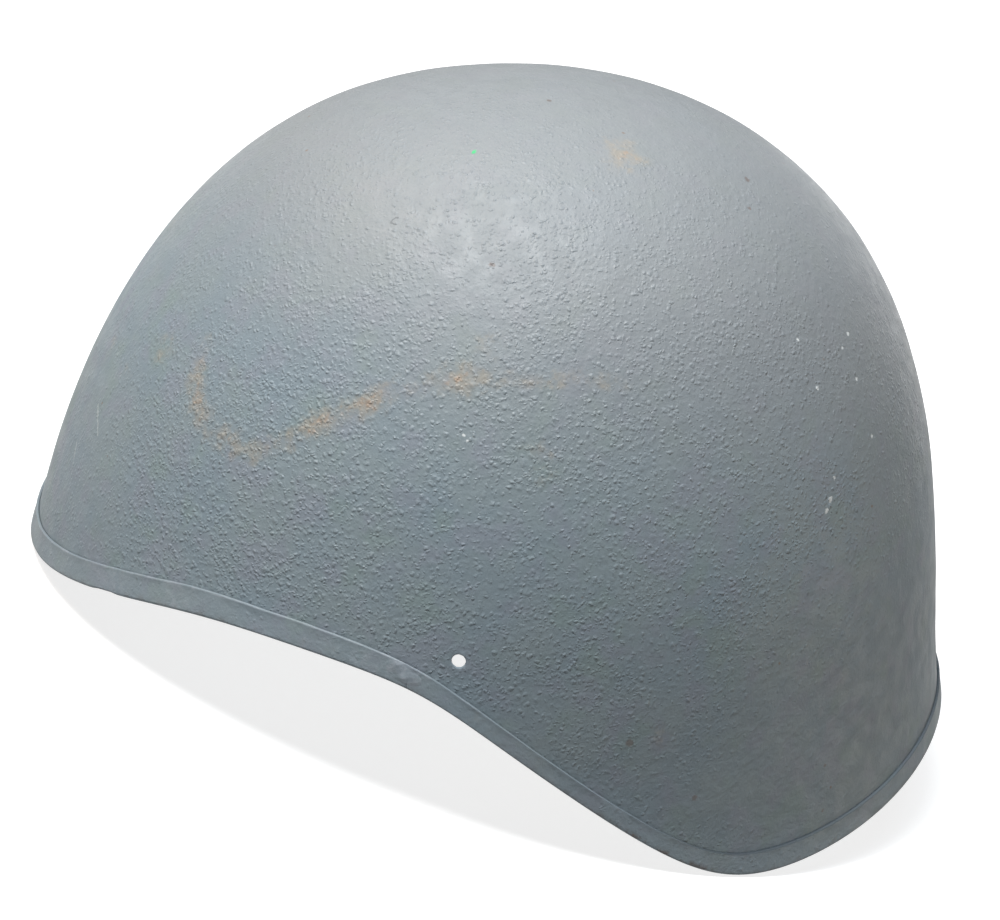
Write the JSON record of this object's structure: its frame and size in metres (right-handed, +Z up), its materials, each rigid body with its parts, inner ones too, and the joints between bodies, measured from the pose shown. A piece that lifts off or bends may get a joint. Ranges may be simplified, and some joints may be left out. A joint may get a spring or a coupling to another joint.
{
  "type": "radio talker helmet",
  "caption": "Deep steel helmet worn over a headset: oversize dome with a dropped ear and nape edge, folded edging strip, sponge pads inside and a swinging chin strap with a cam buckle.",
  "frame": {"origin": "centre of the bounding box at the table under the edge, with the helmet resting on its brow edge and its two ear lobes", "axes": "+Z up from the table, -Y towards the brow, +X towards the wearer's left"},
  "size_m": [0.2828, 0.3233, 0.2037],
  "materials": {
    "haze_paint": "satin grey paint over rough grit",
    "sponge_rubber": "matte",
    "bare_steel": "dull",
    "webbing": "woven cotton",
    "brass": "dull, aged"
  },
  "bodies": {
    "helmet": {"shell": "haze_paint", "front_edging": "haze_paint", "rear_edging": "haze_paint", "edging_welds": "haze_paint", "crown_pad": "sponge_rubber", "front_pad": "sponge_rubber", "rear_pad": "sponge_rubber", "left_pad": "sponge_rubber", "right_pad": "sponge_rubber", "left_lug": "bare_steel", "right_lug": "bare_steel", "left_rivet": "bare_steel", "right_rivet": "bare_steel"},
    "chin_strap": {"left_hanger": "brass", "right_hanger": "brass", "left_strap": "webbing", "right_strap": "webbing", "buckle_frame": "brass", "buckle_pin": "brass", "strap_tip": "brass"},
    "cam_lever": {"buckle_lever": "brass"},
    "keeper": {"strap_keeper": "brass"}
  },
  "joints": [
    {"name": "strap_swing", "type": "hinge", "parent": "helmet", "child": "chin_strap", "pos_m": [0, -0.00122, 0.04341], "axis": [-1, 0, 0], "range_deg": [-15, 135]},
    {"name": "lever_open", "type": "hinge", "parent": "chin_strap", "child": "cam_lever", "pos_m": [0.08007, 0.07225, 0.02283], "axis": [0, 0.2698, 0.9629], "range_deg": [0, 100]},
    {"name": "keeper_slide", "type": "slide", "parent": "chin_strap", "child": "keeper", "axis": [-0.7303, 0.6578, -0.1843], "range_m": [-0.005, 0.0035]}
  ]
}
